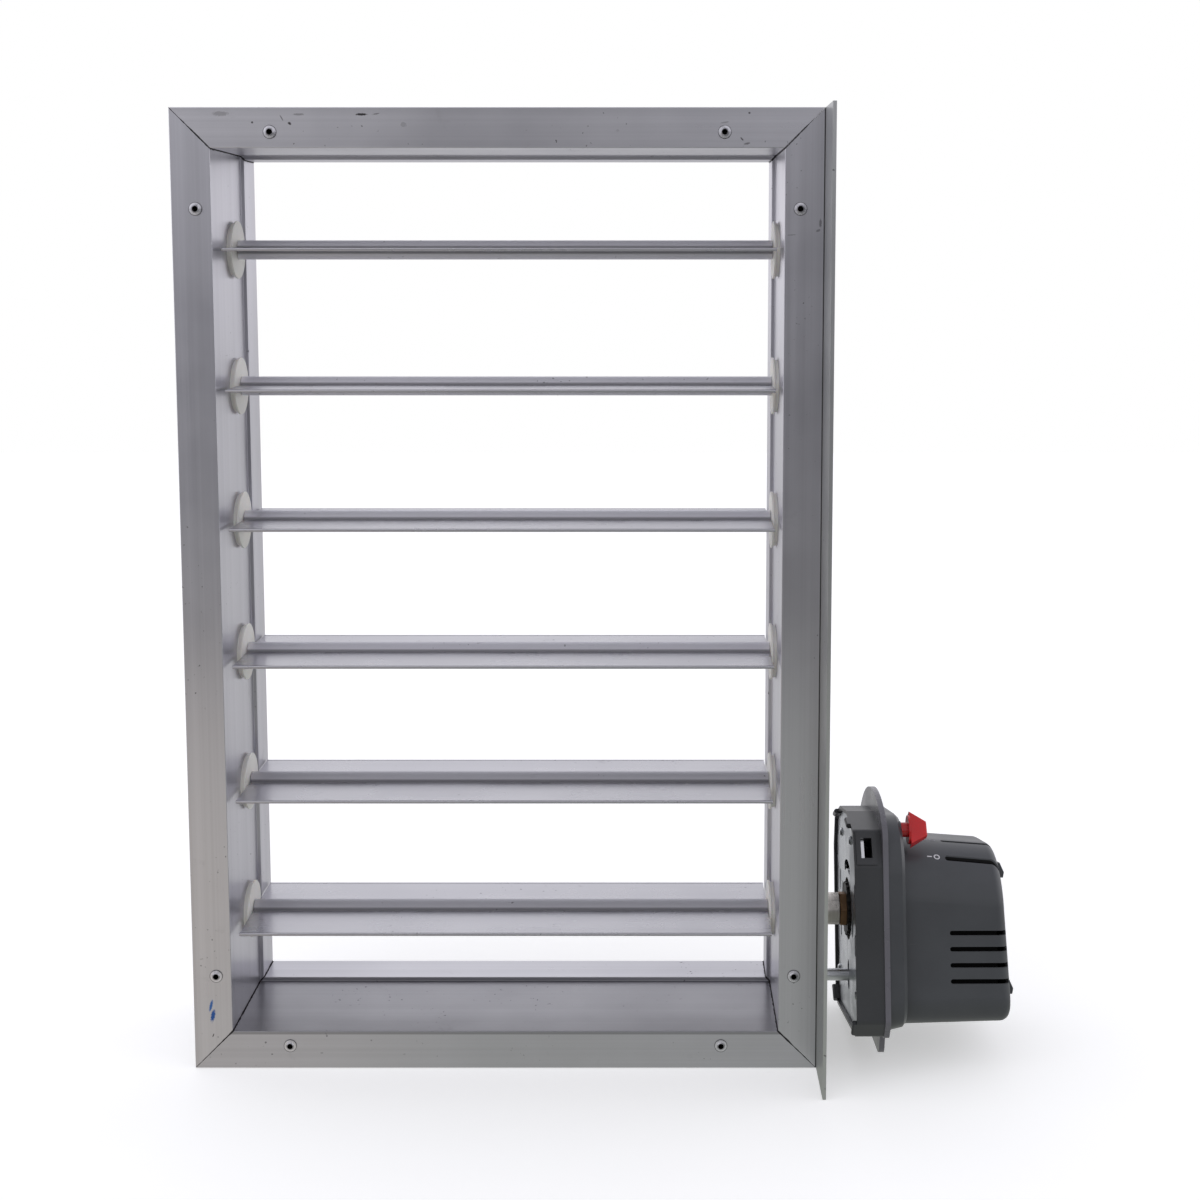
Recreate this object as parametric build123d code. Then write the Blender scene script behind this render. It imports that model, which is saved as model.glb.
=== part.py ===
from build123d import *
from math import atan2, cos, degrees, pi, radians, sin, sqrt, tan
import os

# Volume control damper: an aluminium frame, six parallel blades joined by a linkage,
# and a direct-coupled actuator.
# Millimetres. The origin is the centre of the air opening, in the plane of the blade shafts.
# +X runs along the blades towards the actuator, +Y with the air towards the back flange, +Z is up.

os.makedirs("parts", exist_ok=True)

# ---- driving dimensions --------------------------------------------------------------------------

# frame section, the same extrusion on all four sides
airway_width = 400.0
airway_height = 640.0
frame_depth = 120.0
flange_width = 28.0
frame_wall = 2.0
step_height = 3.0             # how far the web steps into the airway near the back
step_depth = 32.0             # how far the stepped part of the web runs from the back face
frame_edge_radius = 0.6
mitre_gap = 0.2

# blind rivets and corner brackets
rivet_from_corner = 70.0
rivet_from_edge = 17.0
rivet_head_radius = 4.75
rivet_head_height = 1.5
rivet_rim_height = 0.4
rivet_flange_height = 0.8
rivet_collar_radius = 2.9     # of the raised ring round the hole
rivet_collar_top_radius = 2.3
rivet_sunk_radius = 3.8       # of the countersunk heads on the back flange
rivet_shank_radius = 2.4
rivet_core_radius = 1.6
rivet_tail_radius = 3.3
rivet_tail_height = 2.6
rivet_clearance = 0.05
bracket_leg = 90.0
bracket_width = 16.0
bracket_thickness = 2.0

# blades
blade_count = 6
blade_pitch = 100.0
blade_chord = 104.0
blade_thickness = 1.8
blade_edge_radius = 1.2
blade_end_clearance = 0.5     # from the blade's end to the bush's face
spine_radius = 7.0
spine_fillet = 2.0
spindle_radius = 5.0
spindle_grip = 30.0           # length of a shaft stub inside the spine
spindle_tail = 7.0            # how far a left-hand stub stands out behind the web
shaft_chamfer = 0.8

# bushes in the webs
bush_flange_radius = 21.0
bush_back_radius = 19.3
bush_flange = 4.0
bush_rim = 1.3
bush_rim_bevel = 0.5
bush_back_taper = 0.3
bush_barrel_radius = 8.0
bush_barrel = 4.0
running_clearance = 0.05

# linkage inside the right stile
crank_radius = 30.0
crank_rest_angle = -44.0      # from +Y towards +Z, with the blades open
crank_hub_radius = 10.0
crank_hub_length = 9.0
crank_hub_gap = 1.0           # from the bush's barrel to the crank's hub
crank_arm_thickness = 3.5
crank_eye_radius = 7.0
set_screw_radius = 2.0
crank_pin_radius = 3.0
crank_rivet_radius = 2.5
crank_pin_head_radius = 5.0
crank_pin_head = 2.2
crank_pin_bevel = 0.6
linkage_gap = 0.3
tie_bar_width = 15.0
tie_bar_thickness = 3.0
tie_bar_end = 10.0
tie_bar_corner = 4.5
tie_bush_radius = 4.5
tie_bush_flange_radius = 5.5
tie_bush_flange = 0.7
tie_bush_tail = 1.0
pivot_clearance = 0.1

# side plate over the linkage
side_plate_thickness = 2.5
side_plate_overhang = 48.0    # how far it stands out in front of the frame
side_lip_width = 18.0
side_lip_length = 460.0
side_screw_spacing = 200.0
side_screw_radius = 2.0
side_screw_head_radius = 3.9
side_screw_length = 9.0
screw_head_clearance = 0.1

# drive train between the side plate and the actuator
drive_sleeve_radius = 12.0
drive_sleeve_out = 19.9       # how far it stands out of the side plate
drive_sleeve_in = 9.0
side_hole_clearance = 0.5
clamp_nut_flats = 23.0
clamp_nut_length = 4.7
hub_radius = 20.0
hub_length = 6.9
hub_notches = 20
hub_notch_radius = 1.6
hub_boss_radius = 12.0
hub_boss_grip = 2.5           # how far the boss runs into the ear flange
drive_shaft_into_hub = 17.0

# actuator housing, in its own frame: x along the shaft, y across, z up, from the drive shaft
actuator_tilt = -13.0         # degrees that the housing hangs round the shaft
tray_gap = 24.0               # from the side plate to the tray's rim
tray_depth = 20.5
tray_half_width = 72.0
tray_top = 75.0
tray_top_half_width = 22.0    # of the flat top
tray_shoulder = (61.0, 64.5)  # where the top's slope meets the steep facet
tray_facet_foot = 40.0
tray_bottom = -82.0
tray_bottom_chamfer = 12.0
tray_corner_radius = 5.0
tray_wall = 2.5
tray_floor = 2.0
tray_window = (8.0, 15.0)     # along the shaft, along the facet
tray_window_place = 0.45      # of the tray's depth
tray_pad = (15.0, 25.0)
tray_pad_height = 1.0
tray_lug_length = 13.0        # the lugs that hook over the rim of the base plate
tray_lug_out = 3.0
tray_lug_thickness = 3.6
floor_hole_clearance = 2.0
part_gap = 0.5                # between a moulded part and one that must not touch it
base_plate_thickness = 1.5
base_plate_recess = 2.5
base_plate_clearance = 0.4
base_plate_hole_radius = 23.0
base_slot_radius = 33.0
base_slot_sweep = 48.0
base_slot_width = 7.0
base_slot_turns = (0, 90, 180)
base_key_y = 46.0
base_key_heights = (-20.0, 16.0)
base_key_length = 16.0
base_key_width = 6.0
base_screw_places = [(-55.0, -54.0), (55.0, -54.0), (-30.0, 54.0), (30.0, 54.0)]
base_boss_radius = 4.5
base_screw_radius = 1.6
base_screw_head_radius = 3.4
base_screw_head = 2.0
base_screw_length = 11.0
screw_hole_clearance = 0.2
pan_top_ratio = 0.7           # of a pan head's radius
pan_rim_ratio = 0.4           # of a pan head's height
stud_drop = 49.0
stud_radius = 4.5
stud_slot_length = 22.0
stud_clearance = 0.3
stud_into_tray = 6.0
stud_nut_gap = 1.0            # from the inner nut to the stud's end
nut_flats = 13.0
nut_height = 4.5

ear_thickness = 4.0
ear_rim = 1.0                 # how far the plate stands out round the tray
ear_top = 91.5
ear_centre = -4.0             # the ears lean a little towards the front
ear_arch_radius = 105.0
ear_corner_radius = 16.0
ear_lower = [(46.0, -70.0), (27.0, -94.0), (-31.0, -101.0), (-46.0, -70.0)]
ear_lower_radius = 10.0

shoulder_length = 12.5
shoulder_half_width = 72.0
shoulder_top = 74.0
shoulder_bottom = -79.0
shoulder_rise = 3.0           # how far the underside rises along the shoulder
shoulder_top_radius = 40.0
shoulder_bottom_radius = 22.0
shoulder_bevel = 2.5
cover_length = 87.5           # from the ear flange to the middle of the end face
cover_half_width = 61.5
cover_top = 56.5
cover_bottom = -76.0
cover_top_radius = 42.0
cover_bottom_radius = 20.0
cover_side_draft = 1.0        # degrees
cover_top_draft = 4.0
cover_bottom_draft = 1.5
cover_run_out = 10.0          # that the form is drawn past the end face before it is cut
cover_end_lean = 2.7
end_cutter = 100.0            # size of the piece that cuts the end face
cover_end_radius = 7.0
cover_wall = 2.2
cover_screw_places = [(-44.0, -56.0), (44.0, -56.0), (-46.0, 34.0), (46.0, 34.0)]
cover_boss_radius = 4.5
cover_boss_length = 20.0
cover_boss_web = 1.4          # how far a boss's web runs out, as a share of the boss's place
cover_screw_radius = 1.6
cover_screw_head_radius = 3.2
cover_screw_head = 2.0
cover_screw_length = 14.0
vent_width = 3.3
vent_pitch = 11.4
vent_top = -8.8
vent_count = 4
vent_length = 40.5
vent_depth = 7.0
top_vent_width = 3.6
top_vent_places = [(-47.0, 34.0), (-27.0, 45.0), (27.0, 45.0), (47.0, 34.0)]  # y, and the depth's z

knob_place = (-46.5, 63.5)    # of its shaft, from the drive shaft
knob_turned = 28.0            # degrees that its grip stands turned at rest
knob_boss_radius = 6.4
knob_shaft_radius = 3.5
knob_collar_radius = 5.4
knob_collar = 5.0
knob_disc_radius = 10.5
knob_disc = 1.6
knob_grip_length = 12.6
knob_grip_root = (25.5, 10.0) # length and thickness of the grip at the disc
knob_grip_tip = (11.0, 6.0)
knob_grip_edge = 1.2
knob_snap_radius = 4.8
knob_snap = 1.5
knob_snap_play = 0.3

latch_places = [(-38.0, -50.0), (-34.0, 33.0)]
latch_size = (5.0, 7.0, 11.0)
latch_shelf = 0.45            # how far the top reaches, as a share of the latch's depth
latch_nose = 0.35             # height of the nose, as a share of the latch's height
latch_heel = 0.8

# gears and motor
gear_module = 1.5
gear_pressure_angle = 25.0
drive_teeth = 48
pinion_teeth = 12
gear_backlash = 0.2
gear_tip_clearance = 0.25
gear_thickness = 5.0
gear_hole_count = 6
gear_hole_circle = 23.5
gear_hole_radius = 6.5
pinion_direction = -60.0      # from the housing's y towards its z
pinion_overlap = 1.0
motor_shaft_radius = 1.5
motor_shaft_grip = 8.0
motor_radius = 18.0
motor_length = 32.0
motor_boss_radius = 6.0
motor_boss_length = 3.0
motor_flats = 30.0
board_width = 88.0
board_height = 40.0
board_thickness = 1.6
board_bottom = -4.0
board_stand = 44.0
board_post_radius = 3.0
board_post_inset = 5.0
capacitor_place = (-28.0, 12.0)   # on the board: across, and above its lower edge
capacitor_radius = 5.0
capacitor_height = 14.0
relay_place = (-2.0, 10.0)
relay_size = (20.0, 12.0, 12.0)   # across, up, out
chip_place = (21.0, 10.0)
chip_size = (10.0, 8.0, 3.0)
terminal_ways = 5
terminal_pitch = 7.5
terminal_depth = 11.0
terminal_height = 12.0
terminal_inset = 4.0
terminal_screw_radius = 1.7
terminal_wire = 4.0

# ---- places that follow from them ----------------------------------------------------------------

half_width = airway_width / 2
half_height = airway_height / 2
front = -frame_depth / 2
back = frame_depth / 2
blade_axes = [blade_pitch * ((blade_count - 1) / 2 - i) for i in range(blade_count)]
drive_axis = blade_axes[-1]
outer_x = half_width + flange_width
outer_z = half_height + flange_width
rivet_offset = flange_width - rivet_from_edge           # from the airway's edge
bush_face = half_width - bush_flange
blade_end = bush_face - blade_end_clearance
bush_end = half_width + frame_wall + bush_barrel
crank_in = bush_end + crank_hub_gap
crank_out = crank_in + crank_hub_length
pin_y = crank_radius * cos(radians(crank_rest_angle))
pin_z = crank_radius * sin(radians(crank_rest_angle))
tie_bush_in = crank_out + linkage_gap
tie_bar_in = tie_bush_in + tie_bush_flange
tie_bar_out = tie_bar_in + tie_bar_thickness
tie_bush_out = tie_bar_out + tie_bush_tail
pin_head_in = tie_bush_out + linkage_gap
plate_out = outer_x + side_plate_thickness
sleeve_in = plate_out - side_plate_thickness - drive_sleeve_in
sleeve_out = plate_out + drive_sleeve_out
nut_out = sleeve_out + clamp_nut_length
hub_out = nut_out + hub_length
tray_in = plate_out + tray_gap
tray_out = tray_in + tray_depth
base_plate_in = tray_in + base_plate_recess
base_plate_out = base_plate_in + base_plate_thickness
ear_out = tray_out + ear_thickness
gear_in = hub_out
gear_out = gear_in + gear_thickness
shaft_end = nut_out + drive_shaft_into_hub
gear_centres = gear_module * (drive_teeth + pinion_teeth) / 2
pinion_y = gear_centres * cos(radians(pinion_direction))
pinion_z = gear_centres * sin(radians(pinion_direction))
board_in = ear_out + board_stand
cover_end = ear_out + cover_length
shoulder_end = ear_out + shoulder_length
end_middle = (cover_top + cover_bottom) / 2

# ---- helpers -------------------------------------------------------------------------------------


def save(name, shape):
    """Write one sub-part; a list becomes a group of separate solids."""
    solids = shape if isinstance(shape, list) else shape.solids()
    whole = solids[0] if len(solids) == 1 else Compound(children=solids)
    whole.label = name
    export_step(whole, f"parts/{name}.step")


def block(x0, x1, y0, y1, z0, z1):
    return Pos((x0 + x1) / 2, (y0 + y1) / 2, (z0 + z1) / 2) * Box(x1 - x0, y1 - y0, z1 - z0)


def rod(x0, x1, y, z, radius):
    """A cylinder along X."""
    return Pos((x0 + x1) / 2, y, z) * Rot(0, 90, 0) * Cylinder(radius, x1 - x0)


def rod_y(y0, y1, x, z, radius):
    """A cylinder along Y."""
    return Pos(x, (y0 + y1) / 2, z) * Rot(90, 0, 0) * Cylinder(radius, y1 - y0)


def across(x, y=0.0, z=0.0):
    """A plane square to the shafts at x: its own x is +Y and its own y is +Z."""
    return Plane(origin=(x, y, z), x_dir=(0, 1, 0), z_dir=(1, 0, 0))


def hexagon(x0, x1, y, z, flats):
    return extrude(across(x0, y, z) * RegularPolygon(flats / sqrt(3), 6), amount=x1 - x0)


def turned(points, x=0.0, y=0.0, z=0.0):
    """A piece turned about an axis along X: points are (place along the axis, radius)."""
    profile = make_face(Polyline([(a, r, 0) for a, r in points], close=True))
    return Pos(x, y, z) * revolve(profile, axis=Axis.X)


def on_housing(shape):
    """Turn a piece from the actuator's own frame into the damper's frame."""
    return Pos(0, 0, drive_axis) * Rot(actuator_tilt, 0, 0) * shape


def four_corners(shape):
    """The same piece at all four corners of the frame."""
    right = [shape, mirror(shape, Plane.XY)]
    return right + [mirror(s, Plane.YZ) for s in right]


# ---- frame ---------------------------------------------------------------------------------------


def rail(half_gap, half_length):
    """One side of the frame: it runs along Z at +X, half_gap from the middle, with mitred ends."""
    step_y = back - step_depth
    outline = [
        (flange_width, front), (0, front), (0, step_y), (-step_height, step_y), (-step_height, back),
        (flange_width, back), (flange_width, back - frame_wall),
        (frame_wall - step_height, back - frame_wall),
        (frame_wall - step_height, step_y + frame_wall), (frame_wall, step_y + frame_wall),
        (frame_wall, front + frame_wall), (flange_width, front + frame_wall)]
    section = make_face(Polyline([(half_gap + u, y) for u, y in outline], close=True))
    section = fillet(section.vertices(), frame_edge_radius)
    full = extrude(section, amount=half_length + 2 * flange_width, both=True)
    inner = half_gap - step_height
    outer = half_gap + flange_width
    shift = half_length - half_gap - mitre_gap / sqrt(2)
    wedge = make_face(Plane.XZ * Polyline(
        [(inner, -inner - shift), (outer, -outer - shift), (outer, outer + shift),
         (inner, inner + shift)], close=True))
    return full & extrude(wedge, amount=frame_depth, both=True)


def rivet_places():
    """The two rivets of the upper right corner, as (x, z)."""
    along_x = (outer_x - rivet_from_corner, outer_z - rivet_from_edge)
    along_z = (outer_x - rivet_from_edge, outer_z - rivet_from_corner)
    return [along_x, along_z]


def countersink(radius, head_radius):
    """A countersunk hole or head opening towards +Y, with its wide end at y = 0."""
    depth = head_radius - radius
    cone = Pos(0, -depth / 2, 0) * Rot(90, 0, 0) * Cone(head_radius, radius, depth)
    return cone


def rivet_holes():
    reach = frame_wall + bracket_thickness
    holes = []
    for x, z in rivet_places():
        radius = rivet_shank_radius + rivet_clearance
        holes.append(rod_y(front - 1, front + reach, x, z, radius))
        holes.append(rod_y(back - reach, back + 1, x, z, radius))
        holes.append(Pos(x, back, z) * countersink(radius, rivet_sunk_radius))
    return [h for hole in holes for h in four_corners(hole)]


def side_screw_places():
    return [-side_screw_spacing, 0.0, side_screw_spacing]


def frame_parts():
    cuts = rivet_holes()
    bores = [rod(-outer_x, outer_x, 0, z, bush_barrel_radius) for z in blade_axes]
    lip_x = outer_x - side_lip_width / 2
    screws = []
    for z in side_screw_places():
        screws.append(rod_y(back - frame_wall - 1, back + 1, lip_x, z, side_screw_radius))
        screws.append(Pos(lip_x, back, z) * countersink(side_screw_radius, side_screw_head_radius))
    stile = rail(half_width, half_height)
    cross = Rot(0, -90, 0) * rail(half_height, half_width)
    save("frame_right_stile", stile - cuts - bores - screws)
    save("frame_left_stile", mirror(stile, Plane.YZ) - cuts - bores)
    save("frame_top_rail", cross - cuts)
    save("frame_bottom_rail", mirror(cross, Plane.XY) - cuts)


def corner_brackets():
    near = rivet_offset - bracket_width / 2
    far = rivet_offset + bracket_width / 2
    tip_x = outer_x - bracket_leg
    tip_z = outer_z - bracket_leg
    x0, x1 = half_width + near, half_width + far
    z0, z1 = half_height + near, half_height + far
    outline = make_face(Plane.XZ * Polyline(
        [(tip_x, z0), (x0, z0), (x0, tip_z), (x1, tip_z), (x1, z1), (tip_x, z1)], close=True))
    plate = extrude(outline, amount=-bracket_thickness)
    holes = [rod_y(-1, bracket_thickness + 1, x, z, rivet_shank_radius + rivet_clearance)
             for x, z in rivet_places()]
    plate = plate - holes
    save("front_corner_brackets", four_corners(Pos(0, front + frame_wall, 0) * plate))
    back_place = Pos(0, back - frame_wall - bracket_thickness, 0)
    save("back_corner_brackets", four_corners(back_place * plate))


def blind_rivet(head):
    """A pulled rivet with its head's outline given: 0 is the flange's outer face, and the tail is at +X."""
    grip = frame_wall + bracket_thickness
    tail = grip + rivet_tail_height
    bevel = rivet_tail_radius - rivet_shank_radius
    shank = [(tail, rivet_core_radius), (tail, rivet_shank_radius), (tail - bevel, rivet_tail_radius),
             (grip + bevel, rivet_tail_radius), (grip, rivet_shank_radius)]
    return turned(shank + head)


def rivets():
    head = [(0, rivet_shank_radius), (0, rivet_head_radius), (-rivet_rim_height, rivet_head_radius),
            (-rivet_flange_height, rivet_collar_radius), (-rivet_head_height, rivet_collar_top_radius),
            (-rivet_head_height, rivet_core_radius)]
    sunk = rivet_sunk_radius - rivet_clearance
    flush = [(sunk - rivet_shank_radius, rivet_shank_radius), (0, sunk), (0, rivet_core_radius)]
    front_rivet = Rot(0, 0, 90) * blind_rivet(head)
    back_rivet = Rot(0, 0, -90) * blind_rivet(flush)
    front_group = []
    back_group = []
    for x, z in rivet_places():
        front_group += four_corners(Pos(x, front, z) * front_rivet)
        back_group += four_corners(Pos(x, back, z) * back_rivet)
    save("front_corner_rivets", front_group)
    save("back_corner_rivets", back_group)


frame_parts()
corner_brackets()
rivets()


# ---- blades and their shafts ---------------------------------------------------------------------


def blade(z):
    """An extruded blade, open (level), its spine round the shafts."""
    edge = blade_chord / 2 - blade_edge_radius
    plate = Rectangle(2 * edge, blade_thickness) + Circle(spine_radius)
    plate = fillet(plate.vertices().filter_by(lambda v: abs(v.X) < edge - 1), spine_fillet)
    beads = [Pos(side * edge, 0) * Circle(blade_edge_radius) for side in (-1, 1)]
    section = plate + beads - Circle(spindle_radius)
    return extrude(across(0, 0, z) * section, amount=blade_end, both=True)


def spindle(x0, x1, z):
    stub = rod(x0, x1, 0, z, spindle_radius)
    return chamfer(stub.edges().filter_by(GeomType.CIRCLE), shaft_chamfer)


def blades_and_spindles():
    for i, z in enumerate(blade_axes):
        number = i + 1
        is_drive = z == drive_axis
        right_end = shaft_end if is_drive else crank_out
        left = spindle(-bush_end - spindle_tail, spindle_grip - blade_end, z)
        right = spindle(blade_end - spindle_grip, right_end, z)
        save(f"blade_{number}", blade(z))
        save(f"spindles_{number}", [left, right])


def bush():
    """A flanged plastic bush, its axis along X, its face at x = 0 and its barrel towards +X."""
    bore = spindle_radius + running_clearance
    end = bush_flange + frame_wall + bush_barrel
    return turned([(0, bore), (0, bush_flange_radius), (bush_rim, bush_flange_radius),
                   (bush_rim + bush_rim_bevel, bush_back_radius + bush_back_taper),
                   (bush_flange, bush_back_radius), (bush_flange, bush_barrel_radius),
                   (end, bush_barrel_radius), (end, bore)])


def bushes():
    right = [Pos(bush_face, 0, z) * bush() for z in blade_axes]
    save("right_bushes", right)
    save("left_bushes", [mirror(b, Plane.YZ) for b in right])


# ---- linkage -------------------------------------------------------------------------------------


def crank_arm(z):
    """A crank with its hub on the shaft and its eye on the crank pin."""
    arm_in = crank_out - crank_arm_thickness
    eye = Pos(pin_y, pin_z) * Circle(crank_eye_radius)
    outline = make_hull(Circle(crank_hub_radius).edges() + eye.edges())
    arm = extrude(across(arm_in, 0, z) * outline, amount=crank_arm_thickness)
    hub = rod(crank_in, arm_in, 0, z, crank_hub_radius)
    shaft_hole = rod(crank_in - 1, crank_out + 1, 0, z, spindle_radius)
    pin_hole = rod(crank_in, crank_out + 1, pin_y, z + pin_z, crank_rivet_radius)
    screw_x = (crank_in + arm_in) / 2
    screw_hole = Pos(screw_x, 0, z - crank_hub_radius / 2 - 1) * Cylinder(set_screw_radius, crank_hub_radius)
    return arm + hub - shaft_hole - pin_hole - screw_hole


def crank_pin(z):
    """A shouldered pin, riveted into the crank, that carries the tie bar behind its head."""
    arm_in = crank_out - crank_arm_thickness
    return turned([(arm_in, 0), (arm_in, crank_rivet_radius), (crank_out, crank_rivet_radius),
                   (crank_out, crank_pin_radius), (pin_head_in, crank_pin_radius),
                   (pin_head_in, crank_pin_head_radius),
                   (pin_head_in + crank_pin_head, crank_pin_head_radius - crank_pin_bevel),
                   (pin_head_in + crank_pin_head, 0)], 0, pin_y, z + pin_z)


def tie_bush(z):
    bore = crank_pin_radius + pivot_clearance
    return turned([(tie_bush_in, bore), (tie_bush_in, tie_bush_flange_radius),
                   (tie_bar_in, tie_bush_flange_radius), (tie_bar_in, tie_bush_radius),
                   (tie_bush_out, tie_bush_radius), (tie_bush_out, bore)], 0, pin_y, z + pin_z)


def linkage():
    for i, z in enumerate(blade_axes):
        save(f"crank_arm_{i + 1}", crank_arm(z))
        save(f"crank_pin_{i + 1}", crank_pin(z))
    top = blade_axes[0] + pin_z + tie_bar_end
    bottom = drive_axis + pin_z - tie_bar_end
    outline = Pos(pin_y, (top + bottom) / 2) * RectangleRounded(
        tie_bar_width, top - bottom, tie_bar_corner)
    bar = extrude(across(tie_bar_in) * outline, amount=tie_bar_thickness)
    holes = [rod(tie_bar_in - 1, tie_bar_out + 1, pin_y, z + pin_z, tie_bush_radius)
             for z in blade_axes]
    save("tie_bar", bar - holes)
    save("tie_bar_bushes", [tie_bush(z) for z in blade_axes])


# ---- side plate ----------------------------------------------------------------------------------


def side_plate():
    lip_out = back - frame_wall
    lip_x = outer_x - side_lip_width / 2
    sheet = block(outer_x, plate_out, front - side_plate_overhang, back, -outer_z, outer_z)
    lip = block(outer_x - side_lip_width, outer_x, lip_out - side_plate_thickness, lip_out,
                -side_lip_length / 2, side_lip_length / 2)
    shaft_hole = rod(outer_x - 1, plate_out + 1, 0, drive_axis,
                     drive_sleeve_radius + side_hole_clearance)
    stud_hole = on_housing(rod(outer_x - 1, plate_out + 1, 0, -stud_drop, stud_radius))
    screw_holes = [rod_y(lip_out - side_plate_thickness - 1, back, lip_x, z, side_screw_radius)
                   for z in side_screw_places()]
    save("side_plate", sheet + lip - shaft_hole - stud_hole - screw_holes)
    screws = []
    for z in side_screw_places():
        head = side_screw_head_radius - screw_head_clearance
        screw = turned([(0, 0), (0, head), (head - side_screw_radius, side_screw_radius),
                        (side_screw_length, side_screw_radius), (side_screw_length, 0)])
        screws.append(Pos(lip_x, back, z) * Rot(0, 0, -90) * screw)
    save("side_plate_screws", screws)


# ---- drive train outside the side plate ----------------------------------------------------------


def gear(teeth, grow=0.0):
    """An involute spur gear outline with a tooth centred on its own x axis."""
    pitch = gear_module * teeth / 2
    pressure = radians(gear_pressure_angle)
    base = pitch * cos(pressure)
    tip = pitch + gear_module
    root = pitch - gear_module - gear_tip_clearance
    half_tooth = (pi * gear_module / 2 - gear_backlash) / 2 / pitch
    at_pitch = tan(pressure) - pressure
    start = max(base, root)
    flank = []
    for k in range(4):
        radius = start + (tip - start) * k / 3
        roll = sqrt(max((radius / base) ** 2 - 1, 0))
        flank.append((radius, half_tooth + at_pitch - (roll - atan2(roll, 1))))
    if root < base:
        flank.insert(0, (root, flank[0][1]))
    points = []
    for k in range(teeth):
        middle = 2 * pi * k / teeth
        points += [(r * cos(middle - a), r * sin(middle - a)) for r, a in flank]
        points += [(r * cos(middle + a), r * sin(middle + a)) for r, a in reversed(flank)]
    return make_face(Polyline(points, close=True))


def drive_hub():
    """The clamp hub: a notched disc outside the base plate and a boss that runs in the ear flange."""
    disc = across(nut_out) * Circle(hub_radius)
    notches = [across(nut_out) * Rot(0, 0, 360 * k / hub_notches) * Pos(hub_radius, 0)
               * Circle(hub_notch_radius) for k in range(hub_notches)]
    head = extrude(disc - notches, amount=hub_length)
    boss = rod(hub_out, tray_out + hub_boss_grip, 0, 0, hub_boss_radius)
    return head + boss - rod(nut_out - 1, shaft_end, 0, 0, spindle_radius)


def drive_train():
    sleeve = rod(sleeve_in, sleeve_out, 0, 0, drive_sleeve_radius)
    sleeve = chamfer(sleeve.edges().filter_by(GeomType.CIRCLE), shaft_chamfer)
    sleeve = sleeve - rod(sleeve_in, sleeve_out, 0, 0, spindle_radius)
    nut = hexagon(sleeve_out, nut_out, 0, 0, clamp_nut_flats)
    nut = nut - rod(sleeve_out - 1, nut_out + 1, 0, 0, spindle_radius)
    turn = Rot(pinion_direction, 0, 0)
    wheel = extrude(across(gear_in) * gear(drive_teeth), amount=gear_thickness)
    wheel = turn * (wheel - rod(gear_in - 1, gear_out + 1, 0, 0, hub_boss_radius))
    hole = rod(gear_in - 1, gear_out + 1, gear_hole_circle, 0, gear_hole_radius)
    lightening = [turn * Rot(360 * k / gear_hole_count, 0, 0) * hole for k in range(gear_hole_count)]
    save("drive_sleeve", on_housing(sleeve))
    save("clamp_nut", on_housing(nut))
    save("drive_hub", on_housing(drive_hub()))
    save("drive_gear", on_housing(wheel - lightening))
    half_space = 180 / pinion_teeth
    outline = Rot(0, 0, 180 + half_space) * gear(pinion_teeth)
    small = extrude(across(gear_in - pinion_overlap) * outline,
                    amount=gear_thickness + 2 * pinion_overlap)
    axle = rod(gear_out, ear_out + motor_shaft_grip, 0, 0, motor_shaft_radius)
    save("motor_pinion", on_housing(Pos(0, pinion_y, pinion_z) * turn * (small + axle)))


def stud():
    """The stud that keeps the housing from turning, with a nut on each side of the side plate."""
    stud_end = base_plate_out + stud_into_tray
    start = outer_x - nut_height - stud_nut_gap
    pin = rod(start, stud_end, 0, -stud_drop, stud_radius)
    pin = chamfer(pin.edges().filter_by(GeomType.CIRCLE), shaft_chamfer)
    nuts = []
    for x in (outer_x - nut_height, plate_out):
        nut = hexagon(x, x + nut_height, 0, -stud_drop, nut_flats)
        nuts.append(on_housing(nut - rod(x - 1, x + nut_height + 1, 0, -stud_drop, stud_radius)))
    save("torque_stud", on_housing(pin))
    save("stud_nuts", nuts)


# ---- actuator housing ----------------------------------------------------------------------------


def tray_outline(inset=0.0):
    """The tray's outline across the shaft, drawn in by inset."""
    wide, flat, bottom = tray_half_width, tray_top_half_width, tray_bottom
    right = [(wide - tray_bottom_chamfer, bottom), (wide, bottom + tray_bottom_chamfer),
             (wide, tray_facet_foot), tray_shoulder, (flat, tray_top)]
    left = [(-y, z) for y, z in reversed(right)]
    face = make_face(Polyline(right + left, close=True))
    face = fillet(face.vertices(), tray_corner_radius)
    return offset(face, -inset, kind=Kind.INTERSECTION) if inset else face


def tray_windows():
    """The two latch windows, one on each upper facet: the cuts and the raised pads round them."""
    shoulder_y, shoulder_z = tray_shoulder
    facet_y = (tray_half_width + shoulder_y) / 2
    facet_z = (tray_facet_foot + shoulder_z) / 2
    lean = degrees(atan2(tray_half_width - shoulder_y, shoulder_z - tray_facet_foot))
    long, wide = tray_window
    pad_long, pad_wide = tray_pad
    place = Pos(tray_in + tray_depth * tray_window_place, facet_y, facet_z) * Rot(lean, 0, 0)
    cut = place * Box(long, 3 * tray_wall, wide)
    pad = place * Pos(0, -tray_wall / 2, 0) * Box(pad_long, tray_wall + 2 * tray_pad_height, pad_wide)
    return [cut, mirror(cut, Plane.XZ)], [pad, mirror(pad, Plane.XZ)]


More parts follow.
